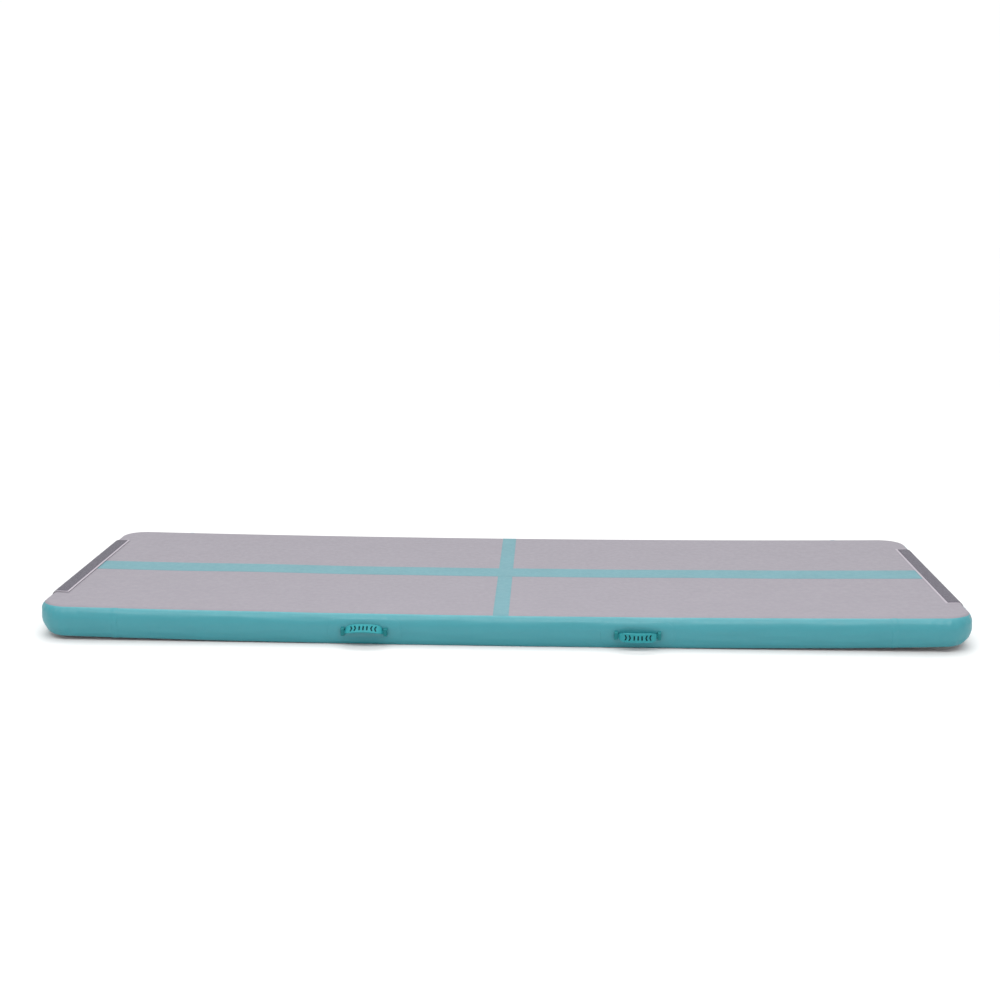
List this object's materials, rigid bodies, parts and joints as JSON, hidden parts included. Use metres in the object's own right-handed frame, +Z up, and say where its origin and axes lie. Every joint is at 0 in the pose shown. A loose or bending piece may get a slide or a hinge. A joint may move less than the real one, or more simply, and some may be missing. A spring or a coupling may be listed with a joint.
{
  "type": "air track mat",
  "caption": "Long inflatable tumbling mat with a flat drop-stitched deck, rounded side walls, guide lines, end fastener strips, swinging carry handles and an inflation valve.",
  "frame": {"origin": "middle of the flat underside that lies on the floor", "axes": "+X along the mat's length towards the end with the loop strip, +Y out of the long side with the valve, +Z up"},
  "size_m": [3, 1.0724, 0.1028],
  "materials": {
    "grey_pvc": "satin",
    "teal_pvc": "satin",
    "teal_line": "satin",
    "base_cloth": "matte",
    "thread": "matte",
    "seam_tape": "matte",
    "fastener_backing": "satin",
    "fastener_pile": "matte",
    "teal_rubber": "satin",
    "valve_plastic": "satin",
    "black_rubber": "matte",
    "spring_steel": "satin"
  },
  "bodies": {
    "mat": {"bottom_skin": "grey_pvc", "top_skin": "grey_pvc", "bottom_base_cloth": "base_cloth", "top_base_cloth": "base_cloth", "stitch_threads": "thread", "bottom_seam_tape": "seam_tape", "top_seam_tape": "seam_tape", "side_liner": "seam_tape", "front_side_panel": "teal_pvc", "rear_side_panel": "teal_pvc", "left_end_panel": "teal_pvc", "right_end_panel": "teal_pvc", "beam_line": "teal_line", "front_cross_line": "teal_line", "rear_cross_line": "teal_line", "left_fastener_backing": "fastener_backing", "left_hook_strip": "fastener_pile", "right_fastener_backing": "fastener_backing", "right_loop_strip": "fastener_pile", "front_left_handle_patch": "teal_pvc", "front_left_handle_anchors": "teal_rubber", "front_right_handle_patch": "teal_pvc", "front_right_handle_anchors": "teal_rubber", "rear_left_handle_patch": "teal_pvc", "rear_left_handle_anchors": "teal_rubber", "rear_right_handle_patch": "teal_pvc", "rear_right_handle_anchors": "teal_rubber", "valve_patch": "teal_pvc", "valve_gasket": "black_rubber", "valve_nut": "valve_plastic", "valve_body": "valve_plastic", "valve_spring": "spring_steel"},
    "front_left_grip": {"front_left_handle_grip": "teal_rubber"},
    "front_right_grip": {"front_right_handle_grip": "teal_rubber"},
    "rear_left_grip": {"rear_left_handle_grip": "teal_rubber"},
    "rear_right_grip": {"rear_right_handle_grip": "teal_rubber"},
    "valve_plunger": {"valve_seal_disc": "black_rubber", "valve_disc_retainer": "valve_plastic"},
    "valve_stem": {"valve_stem": "valve_plastic"},
    "valve_tether": {"valve_tether_ring": "black_rubber"},
    "valve_cap_holder": {"valve_tether_eye": "black_rubber"},
    "valve_cap": {"valve_cap": "valve_plastic", "valve_cap_seal": "black_rubber"}
  },
  "joints": [
    {"name": "front_left_grip_swing", "type": "hinge", "parent": "mat", "child": "front_left_grip", "pos_m": [-0.433, -0.509, 0.047], "axis": [-1, 0, 0], "range_deg": [-100, 5]},
    {"name": "front_right_grip_swing", "type": "hinge", "parent": "mat", "child": "front_right_grip", "pos_m": [0.433, -0.509, 0.047], "axis": [-1, 0, 0], "range_deg": [-50, 50]},
    {"name": "rear_left_grip_swing", "type": "hinge", "parent": "mat", "child": "rear_left_grip", "pos_m": [-0.433, 0.509, 0.047], "axis": [1, 0, 0], "range_deg": [-100, 5]},
    {"name": "rear_right_grip_swing", "type": "hinge", "parent": "mat", "child": "rear_right_grip", "pos_m": [0.433, 0.509, 0.047], "axis": [1, 0, 0], "range_deg": [-50, 50]},
    {"name": "valve_press", "type": "slide", "parent": "mat", "child": "valve_plunger", "axis": [0, -1, 0], "range_m": [0, 0.008], "stiffness_N_per_m": 300, "springref_m": -0.005, "deforming": ["valve_spring"]},
    {"name": "valve_lock_turn", "type": "hinge", "parent": "valve_plunger", "child": "valve_stem", "pos_m": [1.1, 0.48, 0.05], "axis": [0, 1, 0], "range_deg": [0, 90]},
    {"name": "valve_tether_turn", "type": "hinge", "parent": "mat", "child": "valve_tether", "pos_m": [1.1, 0.5051, 0.05], "axis": [0, 1, 0], "continuous": true},
    {"name": "valve_cap_flip", "type": "hinge", "parent": "valve_tether", "child": "valve_cap_holder", "pos_m": [1.0614, 0.50705, 0.05], "axis": [0, 0, 1], "range_deg": [0, 140]},
    {"name": "valve_cap_turn", "type": "hinge", "parent": "valve_cap_holder", "child": "valve_cap", "pos_m": [1.1, 0.51, 0.05], "axis": [0, 1, 0], "continuous": true}
  ]
}
